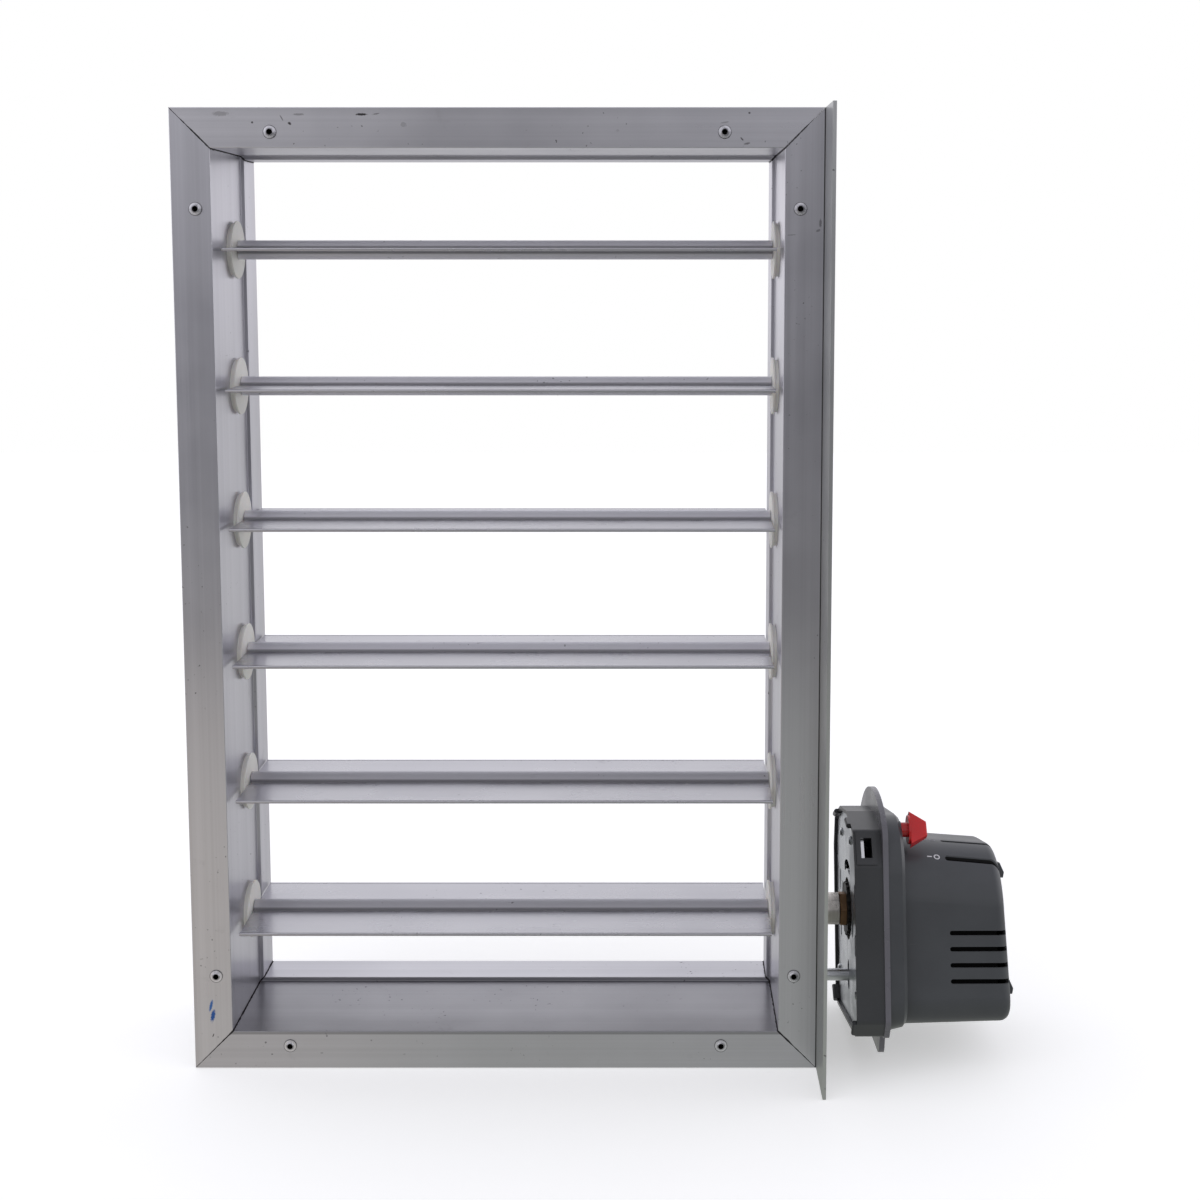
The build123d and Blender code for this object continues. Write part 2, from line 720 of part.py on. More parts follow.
def tray_lugs():
    """The small hooks that stand out of the rim at the tray's corners."""
    shoulder_y, shoulder_z = tray_shoulder
    upper = (degrees(atan2(tray_top - shoulder_z, shoulder_y - tray_top_half_width)),
             (shoulder_y + tray_top_half_width) / 2, (tray_top + shoulder_z) / 2)
    lower = (180 - 45, tray_half_width - tray_bottom_chamfer / 2, tray_bottom + tray_bottom_chamfer / 2)
    lugs = []
    half = tray_lug_length / 2
    for turned_by, y, z in (upper, lower):
        lug = block(-tray_lug_out, base_plate_recess - base_plate_clearance, -half, half,
                    -tray_lug_thickness, 0)
        lug = chamfer(lug.edges().filter_by(Axis.Y).group_by(Axis.X)[0], 1)
        lug = Pos(tray_in, y, z) * Rot(-turned_by, 0, 0) * lug
        lugs += [lug, mirror(lug, Plane.XZ)]
    return lugs


def tray():
    outer = extrude(across(tray_in) * tray_outline(), amount=tray_depth)
    cuts, pads = tray_windows()
    inner = extrude(across(tray_in - 1) * tray_outline(tray_wall), amount=tray_depth + 1 - tray_floor)
    shell = outer + pads - inner + tray_lugs()
    boss_end = tray_out - tray_floor
    bosses = [rod(base_plate_out, boss_end, y, z, base_boss_radius) for y, z in base_screw_places]
    screw_end = base_plate_out + base_screw_length
    pilots = [rod(base_plate_out - 1, screw_end, y, z, base_screw_radius) for y, z in base_screw_places]
    floor_holes = [rod(tray_in, tray_out + 1, 0, 0, hub_boss_radius + floor_hole_clearance),
                   rod(tray_in, tray_out + 1, pinion_y, pinion_z, motor_boss_radius + part_gap)]
    head_room = [rod(tray_out - cover_screw_head - part_gap, tray_out + 1, y, z,
                     cover_screw_head_radius + part_gap) for y, z in cover_screw_places]
    return shell + bosses - cuts - pilots - floor_holes - head_room


def base_plate():
    outline = tray_outline(tray_wall + base_plate_clearance)
    plate = extrude(across(base_plate_in) * outline, amount=base_plate_thickness)
    through = (base_plate_in - 1, base_plate_out + 1)
    holes = [rod(*through, 0, 0, base_plate_hole_radius)]
    holes += [rod(*through, y, z, base_screw_radius + screw_hole_clearance) for y, z in base_screw_places]
    stud_width = 2 * (stud_radius + stud_clearance)
    slots = [Pos(0, -stud_drop) * SlotOverall(stud_slot_length, stud_width, rotation=90)]
    arc = CenterArc((0, 0), base_slot_radius, -base_slot_sweep / 2, base_slot_sweep)
    slots += [Rot(0, 0, turn) * SlotArc(arc, base_slot_width) for turn in base_slot_turns]
    key = SlotOverall(base_key_length, base_key_width, rotation=90)
    slots += [Pos(y, z) * key for y in (-base_key_y, base_key_y) for z in base_key_heights]
    cuts = [extrude(across(base_plate_in - 1) * slot, amount=base_plate_thickness + 2) for slot in slots]
    return plate - holes - cuts


def pan_screws(places, head_in, head_height, head_radius, radius, length):
    """Pan-head screws along X; the heads stand on the face at head_in, and the shanks point to +X."""
    profile = [(-head_height, 0), (-head_height, head_radius * pan_top_ratio),
               (-head_height * pan_rim_ratio, head_radius), (0, head_radius), (0, radius),
               (length, radius), (length, 0)]
    return [on_housing(turned(profile, head_in, y, z)) for y, z in places]


def ear_outline():
    """The tray's outline with a rim round it, an arched ear above and a smaller ear below."""
    wide = tray_half_width + ear_rim
    body = offset(tray_outline(), ear_rim, kind=Kind.INTERSECTION)
    arch = Pos(ear_centre, ear_top - ear_arch_radius) * Circle(ear_arch_radius)
    upper = arch & (Pos(0, ear_top) * Rectangle(2 * wide, 2 * ear_top))
    upper = fillet(upper.vertices().group_by(Axis.Y)[-2:], ear_corner_radius)
    lower = make_face(Polyline(ear_lower, close=True))
    lower = fillet(lower.vertices().group_by(Axis.Y)[:2], ear_lower_radius)
    return body + upper + lower


def ear_flange():
    """The moulded plate between tray and cover, with the posts that carry the circuit board."""
    plate = extrude(across(tray_out) * ear_outline(), amount=ear_thickness)
    post_y = board_width / 2 - board_post_inset
    post_heights = (board_bottom + board_post_inset, board_bottom + board_height - board_post_inset)
    posts = [rod(ear_out, board_in, y, z, board_post_radius) for y in (-post_y, post_y) for z in post_heights]
    through = (tray_out - 1, ear_out + 1)
    holes = [rod(*through, 0, 0, hub_boss_radius + running_clearance),
             rod(*through, pinion_y, pinion_z, motor_boss_radius)]
    holes += [rod(*through, y, z, cover_screw_radius + screw_hole_clearance) for y, z in cover_screw_places]
    return plate + posts - holes


def arched(x, half_width, bottom, top, top_radius, bottom_radius):
    """A face across the shaft with two large upper and two smaller lower corners."""
    face = Pos(0, (top + bottom) / 2) * Rectangle(2 * half_width, top - bottom)
    face = fillet(face.vertices().group_by(Axis.Y)[-1], top_radius)
    return across(x) * fillet(face.vertices().group_by(Axis.Y)[0], bottom_radius)


def cover_body(wall=0.0):
    """The cover's outer form, or with a wall the hollow inside it."""
    wide = shoulder_half_width - wall
    high = shoulder_top - wall
    low = shoulder_bottom + wall
    radii = (shoulder_top_radius - wall, shoulder_bottom_radius - wall)
    step = shoulder_end - wall
    shoulder = loft([arched(ear_out, wide, low, high, *radii),
                     arched(step, wide, low + shoulder_rise, high, *radii)], ruled=True)
    if not wall:
        shoulder = chamfer(shoulder.faces().sort_by(Axis.X)[-1].edges(), shoulder_bevel)
    run = cover_end + cover_run_out - step
    fall = run * tan(radians(cover_top_draft))
    rise = run * tan(radians(cover_bottom_draft))
    draw = run * tan(radians(cover_side_draft))
    radii = (cover_top_radius - wall, cover_bottom_radius - wall)
    wide = cover_half_width - wall
    high = cover_top - wall
    low = cover_bottom + wall
    box = loft([arched(step - shoulder_bevel, wide, low, high, *radii),
                arched(step + run, wide - draw, low + rise, high - fall, *radii)], ruled=True)
    cutter = Pos(end_cutter / 2, 0, 0) * Box(end_cutter, 3 * end_cutter, 3 * end_cutter)
    box = box - Pos(cover_end - wall, 0, end_middle) * Rot(0, -cover_end_lean, 0) * cutter
    rim = box.faces().sort_by(Axis.X)[-1].edges()
    return shoulder + fillet(rim, cover_end_radius - wall)


def vents():
    """The vent slots: a row on each side wall that runs out over the end, and four in the top."""
    start = cover_end - vent_length
    cuts = []
    for k in range(vent_count):
        z = vent_top - k * vent_pitch
        half = vent_width / 2
        slot = block(start, cover_end + vent_depth, cover_half_width - vent_depth,
                     cover_half_width + vent_depth, z - half, z + half)
        nose = rod_y(cover_half_width - vent_depth, cover_half_width + vent_depth, start, z, half)
        cuts += [slot, nose, mirror(slot, Plane.XZ), mirror(nose, Plane.XZ)]
    for y, low in top_vent_places:
        half = top_vent_width / 2
        cuts.append(block(start, cover_end + vent_depth, y - half, y + half, low, cover_top + 1))
        cuts.append(Pos(start, y, (low + cover_top + 1) / 2) * Cylinder(half, cover_top + 1 - low))
    return cuts


def cover():
    shell = cover_body() - cover_body(cover_wall)
    long = cover_boss_length
    bosses = [rod(ear_out, ear_out + long, y, z, cover_boss_radius) for y, z in cover_screw_places]
    bosses += [block(ear_out, ear_out + long, min(y, cover_boss_web * y), max(y, cover_boss_web * y),
                     z - cover_wall / 2, z + cover_wall / 2) for y, z in cover_screw_places]
    held = [boss & cover_body() for boss in bosses]
    screw_end = ear_out + cover_screw_length
    pilots = [rod(ear_out - 1, screw_end, y, z, cover_screw_radius) for y, z in cover_screw_places]
    knob_boss = rod(ear_out, shoulder_end, *knob_place, knob_boss_radius)
    knob_hole = rod(ear_out - 1, shoulder_end + 1, *knob_place, knob_shaft_radius + running_clearance)
    knob_room = rod(ear_out, ear_out + 1 + knob_snap, *knob_place, knob_snap_radius + knob_snap_play)
    return shell + held + knob_boss - pilots - knob_hole - knob_room - vents()


def knob():
    """The red pointer knob: collar, disc and wedge grip on one shaft that snaps into the cover."""
    face = shoulder_end + linkage_gap
    collar = rod(face, face + knob_collar, 0, 0, knob_collar_radius)
    root = face + knob_collar + knob_disc
    disc = rod(face + knob_collar, root, 0, 0, knob_disc_radius)
    low = across(root) * RectangleRounded(*knob_grip_root, knob_grip_edge)
    high = across(root + knob_grip_length) * RectangleRounded(*knob_grip_tip, knob_grip_edge)
    grip = loft([low, high], ruled=True)
    tip = grip.faces().sort_by(Axis.X)[-1]
    grip = fillet(tip.edges(), knob_grip_edge)
    snap_in = ear_out + 1
    shaft = rod(snap_in + knob_snap, face, 0, 0, knob_shaft_radius)
    snap = rod(snap_in, snap_in + knob_snap, 0, 0, knob_snap_radius)
    return Pos(0, *knob_place) * Rot(90 - knob_turned, 0, 0) * (collar + disc + grip + shaft + snap)


def latches():
    """Two small hooked latches on the cover's end face."""
    long, wide, high = latch_size
    hook = Plane.XZ * Polyline([(0, 0), (0, high), (latch_shelf * long, high),
                                (long, latch_nose * high), (latch_heel * long, 0)], close=True)
    solid = extrude(make_face(hook), amount=wide / 2, both=True)
    group = []
    for y, z in latch_places:
        foot = z - high / 2
        lean = (foot - end_middle) * tan(radians(cover_end_lean))
        group.append(on_housing(Pos(cover_end - lean, y, foot) * Rot(0, -cover_end_lean, 0) * solid))
    return group


def motor():
    can_end = ear_out + motor_length
    can = rod(ear_out, can_end, 0, 0, motor_radius)
    flat = block(ear_out - 1, can_end + 1, -motor_radius, motor_radius, -motor_flats / 2, motor_flats / 2)
    rear = rod(can_end, can_end + motor_boss_length, 0, 0, motor_boss_radius)
    nose = rod(tray_out + 1, ear_out, 0, 0, motor_boss_radius)
    bore = rod(tray_out, ear_out + motor_shaft_grip + 1, 0, 0, motor_shaft_radius + running_clearance)
    return Pos(0, pinion_y, pinion_z) * ((can & flat) + rear + nose - bore)


def on_board(place, size):
    """A component's body on the outer face of the circuit board."""
    y, up = place
    wide, high, out = size
    z = board_bottom + up
    top = board_in + board_thickness
    return block(top, top + out, y - wide / 2, y + wide / 2, z - high / 2, z + high / 2)


def board():
    half = board_width / 2
    top = board_in + board_thickness
    plate = block(board_in, top, -half, half, board_bottom, board_bottom + board_height)
    y, up = capacitor_place
    capacitor = rod(top, top + capacitor_height, y, board_bottom + up, capacitor_radius)
    return plate + capacitor + on_board(relay_place, relay_size) + on_board(chip_place, chip_size)


def terminals():
    top = board_in + board_thickness
    end = top + terminal_height
    half = terminal_ways * terminal_pitch / 2
    z1 = board_bottom + board_height - terminal_inset
    z0 = z1 - terminal_depth
    body = block(top, end, -half, half, z0, z1)
    middles = [terminal_pitch * (k - (terminal_ways - 1) / 2) for k in range(terminal_ways)]
    half_wire = terminal_wire / 2
    middle_z = (z0 + z1) / 2
    screws = [rod(end - terminal_depth / 2, end + 1, y, middle_z, terminal_screw_radius) for y in middles]
    wires = [block(top + half_wire, top + half_wire + terminal_wire, y - half_wire, y + half_wire,
                   z1 - terminal_wire, z1 + 1) for y in middles]
    return body - screws - wires


def actuator():
    save("actuator_tray", on_housing(tray()))
    save("actuator_base_plate", on_housing(base_plate()))
    save("actuator_base_screws", pan_screws(base_screw_places, base_plate_in, base_screw_head,
                                            base_screw_head_radius, base_screw_radius, base_screw_length))
    save("actuator_ear_flange", on_housing(ear_flange()))
    save("actuator_cover", on_housing(cover()))
    cover_screw_reach = cover_screw_length + ear_thickness - 1
    save("actuator_cover_screws", pan_screws(cover_screw_places, tray_out, cover_screw_head,
                                             cover_screw_head_radius, cover_screw_radius, cover_screw_reach))
    save("cover_latches", latches())
    save("release_knob", on_housing(knob()))
    save("motor", on_housing(motor()))
    save("circuit_board", on_housing(board()))
    save("terminal_block", on_housing(terminals()))


blades_and_spindles()
bushes()
linkage()
side_plate()
drive_train()
stud()
actuator()
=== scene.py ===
"""Volume control damper: looks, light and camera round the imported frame.

Lengths are metres unless a name or comment says millimetres. +Y points away from the camera, +Z up.
"""
import math

import bmesh
import bpy
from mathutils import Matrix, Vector


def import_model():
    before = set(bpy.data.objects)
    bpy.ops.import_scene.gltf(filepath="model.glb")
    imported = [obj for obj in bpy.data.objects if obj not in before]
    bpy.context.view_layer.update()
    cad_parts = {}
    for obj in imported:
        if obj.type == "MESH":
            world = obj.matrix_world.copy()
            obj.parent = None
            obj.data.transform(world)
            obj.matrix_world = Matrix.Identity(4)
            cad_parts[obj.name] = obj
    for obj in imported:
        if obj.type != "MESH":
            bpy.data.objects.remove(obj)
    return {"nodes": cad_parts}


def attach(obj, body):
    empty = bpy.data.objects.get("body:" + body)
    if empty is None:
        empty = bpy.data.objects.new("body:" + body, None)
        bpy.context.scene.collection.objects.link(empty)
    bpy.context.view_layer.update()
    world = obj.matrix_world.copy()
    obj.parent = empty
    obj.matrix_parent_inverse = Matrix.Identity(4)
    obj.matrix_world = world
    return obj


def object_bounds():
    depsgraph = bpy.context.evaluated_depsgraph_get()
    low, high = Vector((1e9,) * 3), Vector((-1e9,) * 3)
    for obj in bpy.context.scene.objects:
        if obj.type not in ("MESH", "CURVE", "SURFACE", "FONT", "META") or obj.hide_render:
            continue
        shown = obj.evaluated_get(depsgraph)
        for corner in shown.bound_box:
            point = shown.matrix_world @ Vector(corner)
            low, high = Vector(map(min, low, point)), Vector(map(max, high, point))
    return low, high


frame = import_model()
cad_box = [list(corner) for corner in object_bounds()]
nodes = frame["nodes"]
scene = bpy.context.scene
MM = 0.001

MIX_INPUTS, MIX_RESULT = (0, 6, 7), 2    # a Mix node's sockets where it mixes colours
MOST = (0.3, 0.7)                        # where most of a noise's values lie


# ---- node trees ----------------------------------------------------------------------------------


def grey(level, tint=(1.0, 1.0, 1.0)):
    return tuple(level * part for part in tint)


def rgba(color):
    """A colour, or one level for all its parts, as inputs and ramps take it. A socket stays one."""
    if isinstance(color, bpy.types.NodeSocket):
        return color
    color = color if isinstance(color, tuple) else grey(color)
    return (*color, 1.0)


def by_axis(along, run, across):
    """One number on the axis that is named, and another on the other two."""
    return tuple(run if axis == along else across for axis in "XYZ")


class Tree:
    """A node tree, with short ways to the nodes that the looks and the studio are made of."""

    def __init__(self, tree):
        self.tree = tree

    def add(self, kind, **settings):
        made = self.tree.nodes.new("ShaderNode" + kind)
        for key, value in settings.items():
            setattr(made, key, value)
        return made

    def put(self, socket, value):
        if isinstance(value, bpy.types.NodeSocket):
            self.tree.links.new(value, socket)
        else:
            socket.default_value = value

    def node(self, kind, *values, **settings):
        """The first output of a node whose inputs are filled in order."""
        made = self.add(kind, **settings)
        for socket, value in zip(made.inputs, values):
            self.put(socket, value)
        return made.outputs[0]

    def split(self, vector):
        made = self.add("SeparateXYZ")
        self.put(made.inputs[0], vector)
        return tuple(made.outputs)

    def math(self, operation, *values, clamp=False):
        return self.node("Math", *values, operation=operation, use_clamp=clamp)

    def plus(self, a, b):
        return self.math("ADD", a, b)

    def minus(self, a, b):
        return self.math("SUBTRACT", a, b)

    def times(self, product, *factors):
        for factor in factors:
            product = self.math("MULTIPLY", product, factor)
        return product

    def linear(self, value, slope, start):
        return self.math("MULTIPLY_ADD", value, slope, start)

    def larger(self, a, b):
        return self.math("MAXIMUM", a, b)

    def absolute(self, value):
        return self.math("ABSOLUTE", value)

    def diagonal(self, a, b):
        squares = self.plus(self.math("POWER", a, 2.0), self.math("POWER", b, 2.0))
        return self.math("SQRT", squares)

    def range(self, value, low, high, to_low=0.0, to_high=1.0):
        """A smooth step from one level to another as the value goes from low to high."""
        return self.node("MapRange", value, low, high, to_low, to_high,
                         interpolation_type="SMOOTHSTEP")

    def ramp(self, value, *stops):
        made = self.add("ValToRGB")
        band = made.color_ramp
        while len(band.elements) < len(stops):
            band.elements.new(0.5)
        for element, (place, color) in zip(band.elements, stops):
            element.position = place
            element.color = rgba(color)
        self.put(made.inputs[0], value)
        return made.outputs[0]

    def mix(self, factor, a, b, blend="MIX"):
        made = self.add("Mix", data_type="RGBA", blend_type=blend)
        for place, value in zip(MIX_INPUTS, (factor, rgba(a), rgba(b))):
            self.put(made.inputs[place], value)
        return made.outputs[MIX_RESULT]


class Look(Tree):
    """One material, and the nodes that its colour, roughness and relief come from."""

    def __init__(self, name, color, roughness=0.5, metallic=0.0, **sockets):
        self.material = bpy.data.materials.new(name)
        self.material.use_nodes = True
        self.material.diffuse_color = rgba(color)
        super().__init__(self.material.node_tree)
        self.shader = self.tree.nodes["Principled BSDF"]
        sockets = {"Base_Color": rgba(color), "Roughness": roughness, "Metallic": metallic,
                   **sockets}
        for socket, value in sockets.items():
            self.shader.inputs[socket.replace("_", " ")].default_value = value
        self.place = self.add("TexCoord").outputs["Object"]

    def axes(self):
        """The object's x, y and z."""
        return self.split(self.place)

    def stretch(self, scale):
        """The place in the object, times one number or one for each axis."""
        scale = scale if isinstance(scale, tuple) else (scale,) * 3
        return self.node("VectorMath", self.place, scale, operation="MULTIPLY")

    def noise(self, scale, detail=2.0, roughness=0.5, distortion=0.0):
        """Noise with this many features per metre, on all axes or on each."""
        made = self.add("TexNoise")
        for socket, value in (("Vector", self.stretch(scale)), ("Scale", 1.0), ("Detail", detail),
                              ("Roughness", roughness), ("Distortion", distortion)):
            self.put(made.inputs[socket], value)
        return made.outputs["Fac"]

    def flakes(self, scale):
        """Cells that each have one level of their own."""
        made = self.add("TexVoronoi")
        self.put(made.inputs["Vector"], self.stretch(scale))
        self.put(made.inputs["Scale"], 1.0)
        return self.node("RGBToBW", made.outputs["Color"])

    def bump(self, height, distance, strength):
        made = self.add("Bump")
        for socket, value in (("Strength", strength), ("Distance", distance), ("Height", height)):
            self.put(made.inputs[socket], value)
        return made.outputs[0]

    def drawn(self, along, amount):
        """Stretch the reflections square to the drawing lines, which run along the given axis."""
        self.shader.inputs["Anisotropic"].default_value = amount
        facing = self.add("NewGeometry").outputs["Normal"]
        line = by_axis(along, 1.0, 0.0)
        square = self.node("VectorMath", facing, line, operation="CROSS_PRODUCT")
        some_way = (0.010, 0.007, 0.004)    # for the end faces, where the product is nothing
        tangent = self.node("VectorMath", square, some_way, operation="ADD")
        self.put(self.shader.inputs["Tangent"], tangent)

    def wear(self, color, roughness, normal=None):
        """Take the shader's colour, roughness and relief from these, and give the material."""
        for socket, value in (("Base Color", color), ("Roughness", roughness), ("Normal", normal)):
            if value is not None:
                self.put(self.shader.inputs[socket], value)
        return self.material


def dress(material, *names):
    for name in names:
        slots = nodes[name].data.materials
        slots.clear()
        slots.append(material)


def every(start):
    return [name for name in nodes if name.startswith(start)]


def front_of(name):
    return min(vertex.co.y for vertex in nodes[name].data.vertices)


# ---- aluminium -----------------------------------------------------------------------------------

LAVENDER = (0.985, 0.975, 1.04)
# The dark colour of dirt on the aluminium, also used for its painted shade.
GRIME_AND_SHADE = (0.05, 0.045, 0.05)
SAWN = 0.56                     # the level of the side plate's sawn front edge
LOW_TONE, HIGH_TONE = 0.4, 1.6

FLANGE_FRONT = -0.0590          # the flanges' front faces lie nearer than this y
PLATE_JOINT = 0.2272            # the x where the flanges end against the side plate; past it they get a dark joint line with painted shade
FLANGE_EDGES = (0.228, 0.199)   # the |x| of a stile's outer and inner edge
MITRE = 0.120                   # the |z| - |x| of each mitre
WEB_TOP = 0.3224                # the bottom rail's web lies within this |z|
WEB_BACK = (0.029, 0.027)       # and is painted darker, as shade under the blades, up to this y

SPINE_SIDE = (0.0082, 0.0066)   # the |y| over which a blade's raised spine ends
SPINE_FOOT = (0.0060, 0.0068), (0.0085, 0.0074)    # the |y| round the painted shadow line at its foot
UPPER_BLADES = (-0.12, -0.07)   # the z above which the spines get a brighter painted highlight


def tinted(look, tone, level, tint):
    """The tone, between its two ends, as a colour round the metal's own."""
    share = look.math("DIVIDE", look.minus(tone, LOW_TONE), HIGH_TONE - LOW_TONE)
    low, high = grey(level * LOW_TONE, tint), grey(level * HIGH_TONE, tint)
    return look.ramp(share, (0.0, low), (1.0, high))


def stroke(look, x, z, place, size, turn):
    """A ragged mark: its place and size in millimetres, turned by an angle in degrees."""
    c, s = math.cos(math.radians(turn)), math.sin(math.radians(turn))
    dx = look.minus(x, place[0] * MM)
    dz = look.minus(z, place[1] * MM)
    along = look.plus(look.times(dx, c), look.times(dz, s))
    over = look.minus(look.times(dz, c), look.times(dx, s))
    along = look.math("DIVIDE", along, size[0] * MM / 2)
    over = look.math("DIVIDE", over, size[1] * MM / 2)
    torn = look.noise(900.0, 3.0, 0.6)
    far = look.plus(look.diagonal(along, over), look.linear(torn, 1.2, -0.6))
    return look.range(far, 1.05, 0.55)


def mitre_seam(look, x, z):
    """1 in the ragged gap of each mitre, which opens towards the airway."""
    right, up = look.absolute(x), look.absolute(z)
    off = look.absolute(look.minus(look.minus(up, right), MITRE))
    inward = look.range(right, *FLANGE_EDGES)
    start, growth = 0.0006, 0.0011
    width = look.times(look.linear(inward, growth, start), look.noise(240.0, 3.0))
    return look.math("LESS_THAN", off, width)


def mill(name, along, level, roughness=0.3, tint=LAVENDER, streak=0.085, per_metre=520.0,
         seams=False, scuffs=(), inks=(), web_shade=1.0, spine=False, bright_edge=None):
    """Extruded or rolled aluminium as it leaves the mill: drawing lines, handling marks, specks.
    It also paints shade along the side plate's joint, on the bottom rail's web under the blades and
    at the foot of each blade's spine, and paints the spines brighter, more on the upper blades.

    along is the axis of the drawing lines, per_metre how fine they are, and streak how strong.
    """
    look = Look(name, grey(level, tint), roughness, 1.0)
    lines = look.noise(by_axis(along, 2.2, per_metre))
    bands = look.noise(by_axis(along, 0.7, 70.0))
    clouds = look.noise(9.0, 4.0, 0.6)
    patches = look.noise(31.0, 5.0, 0.65, distortion=0.4)
    specks = look.noise(330.0)
    where = look.noise(17.0)
    x, y, z = look.axes()
    front = look.math("LESS_THAN", y, FLANGE_FRONT)

    tone = look.linear(lines, 2 * streak, 1.0 - streak)
    tone = look.times(tone, look.linear(bands, 3 * streak, 1.0 - 1.5 * streak))
    tone = look.times(tone, look.range(clouds, *MOST, 0.965, 1.03))
    dirt_and_shade = look.times(look.range(specks, 0.69, 0.75), look.range(where, 0.5, 0.62), 0.7)
    dirt_and_shade = look.plus(dirt_and_shade, look.range(patches, 0.63, 0.78, 0.0, 0.16))
    rough = look.plus(look.range(clouds, *MOST, -0.03, 0.05), look.times(lines, 0.08))
    rough = look.plus(rough, roughness - 0.03)
    # Painted shade: the bottom rail's web is darkened in front of its step, where the blades above
    # shade it.
    if web_shade < 1.0:
        within = look.math("LESS_THAN", look.absolute(z), WEB_TOP)
        web = look.times(within, look.range(y, *WEB_BACK))
        tone = look.times(tone, look.linear(web, web_shade - 1.0, 1.0))
    if seams:
        # The flanges' front past PLATE_JOINT: a dark joint line, painted deeper as the side plate's
        # shade.
        joint_line_and_shade = look.times(look.math("GREATER_THAN", x, PLATE_JOINT), front)
        dirt_and_shade = look.larger(dirt_and_shade, look.times(mitre_seam(look, x, z), 0.95))
        dirt_and_shade = look.larger(dirt_and_shade, look.times(joint_line_and_shade, 0.85))
    for place, size, turn, depth in scuffs:
        scuff = look.times(stroke(look, x, z, place, size, turn), front, depth)
        dirt_and_shade = look.larger(dirt_and_shade, scuff)
    # Painted light on the blades: the spine painted brighter, more on the upper blades, and a
    # painted shadow line along its front foot.
    if spine:
        off = look.absolute(y)
        raised = look.range(off, *SPINE_SIDE)
        spine_highlight = look.range(z, *UPPER_BLADES, 0.2, 0.58)
        shadow = look.times(*(look.range(off, *side) for side in SPINE_FOOT))
        tone = look.times(tone, look.linear(raised, spine_highlight, 1.0))
        dirt_and_shade = look.larger(dirt_and_shade, look.times(shadow, look.range(y, 0.0, -0.004, 0.0, 0.5)))
        rough = look.plus(rough, look.times(raised, 0.3))

    color = tinted(look, tone, level, tint)
    if bright_edge is not None:
        color = look.mix(look.math("LESS_THAN", y, bright_edge), color, grey(SAWN, tint))
    # Mix to the dark colour: real dirt, specks, scuffs and mitre gaps, and painted shade at the
    # side plate's joint and the spines' feet.
    color = look.mix(look.math("MULTIPLY", dirt_and_shade, 1.0, clamp=True), color, GRIME_AND_SHADE)
    for place, size, turn, ink in inks:
        color = look.mix(look.times(stroke(look, x, z, place, size, turn), front), color, ink)
    rough = look.math("ADD", rough, look.times(dirt_and_shade, 0.3), clamp=True)
    look.drawn(along, amount=0.7)
    return look.wear(color, rough)


# Marks on the front faces: place (x, z) and size in millimetres, turn in degrees, depth or colour.
RAIL_SCUFFS = (
    ((-192.0, 343.5), (13.0, 4.0), 0.0, 0.35),
    ((-170.0, 337.5), (1.8, 1.6), 0.0, 0.85),
    ((-144.0, 336.8), (3.0, 2.0), -35.0, 0.9),
    ((-149.5, 340.5), (5.0, 1.0), -60.0, 0.6),
    ((-137.5, 343.0), (9.0, 1.8), 0.0, 0.45),
    ((-94.0, 343.0), (9.5, 2.0), 0.0, 0.95),
    ((-84.0, 343.3), (6.0, 1.0), 10.0, 0.6),
    ((-65.0, 336.0), (5.0, 4.0), 0.0, 0.3),
    ((175.0, 344.0), (1.8, 1.6), 0.0, 0.8),
    ((170.0, 326.0), (3.5, 1.2), -50.0, 0.8),
    ((173.5, 323.0), (5.0, 1.6), 10.0, 0.6),
    ((158.0, 337.5), (7.0, 1.2), 8.0, 0.35),
)
STILE_SCUFFS = (
    ((225.0, 268.0), (2.2, 7.0), 0.0, 0.55),
    ((223.5, 263.0), (4.0, 2.0), 20.0, 0.5),
    ((205.0, 260.0), (8.0, 0.9), 4.0, 0.35),
    ((-214.3, -323.0), (0.9, 3.4), -25.0, 0.9),
    ((-222.0, -270.0), (1.6, 1.2), 0.0, 0.5),
)
STILE_INK = (
    ((-214.1, -308.0), (3.6, 11.0), -12.0, (0.050, 0.13, 0.42)),
    ((-215.4, -300.5), (2.4, 11.0), -13.0, (0.085, 0.19, 0.50)),
)
FOOT_SCUFFS = (
    ((-176.0, -328.5), (1.8, 1.6), 0.0, 0.6),
    ((-171.5, -337.5), (1.6, 1.4), 0.0, 0.6),
    ((-131.0, -323.5), (1.6, 1.8), 0.0, 0.5),
    ((-98.5, -327.0), (1.8, 1.4), 0.0, 0.4),
    ((-135.0, -336.5), (2.6, 1.2), 0.0, 0.35),
)
PLATE_EDGE = front_of("side_plate") + 0.4 * MM

dress(mill("rail_aluminium", "X", 0.65, seams=True, scuffs=RAIL_SCUFFS), "frame_top_rail")
dress(mill("foot_aluminium", "X", 0.575, seams=True, scuffs=FOOT_SCUFFS, web_shade=0.6),
      "frame_bottom_rail")
dress(mill("stile_aluminium", "Z", 0.62, seams=True, scuffs=STILE_SCUFFS, inks=STILE_INK),
      "frame_left_stile", "frame_right_stile")
dress(mill("blade_aluminium", "X", 0.525, 0.26, streak=0.03, per_metre=160.0, spine=True),
      *every("blade_"))
dress(mill("sheet_aluminium", "Z", 0.43, 0.34, (0.98, 1.0, 1.0), 0.03, bright_edge=PLATE_EDGE),
      "side_plate")


# ---- steel, zinc and bronze ----------------------------------------------------------------------

# In millimetres: the rivets' places in the frame's upper right corner, mirrored to the others.
RIVETS = ((158.0, 331.0), (211.0, 278.0))
RIVET_HOLE = 2.05
RIVET_COLLAR = (2.6, 3.1)       # the radii over which the collar's painted shade turns into the bright flange
RIVET_RIM = (4.1, 4.6)          # and the flange into the painted shadow line round it


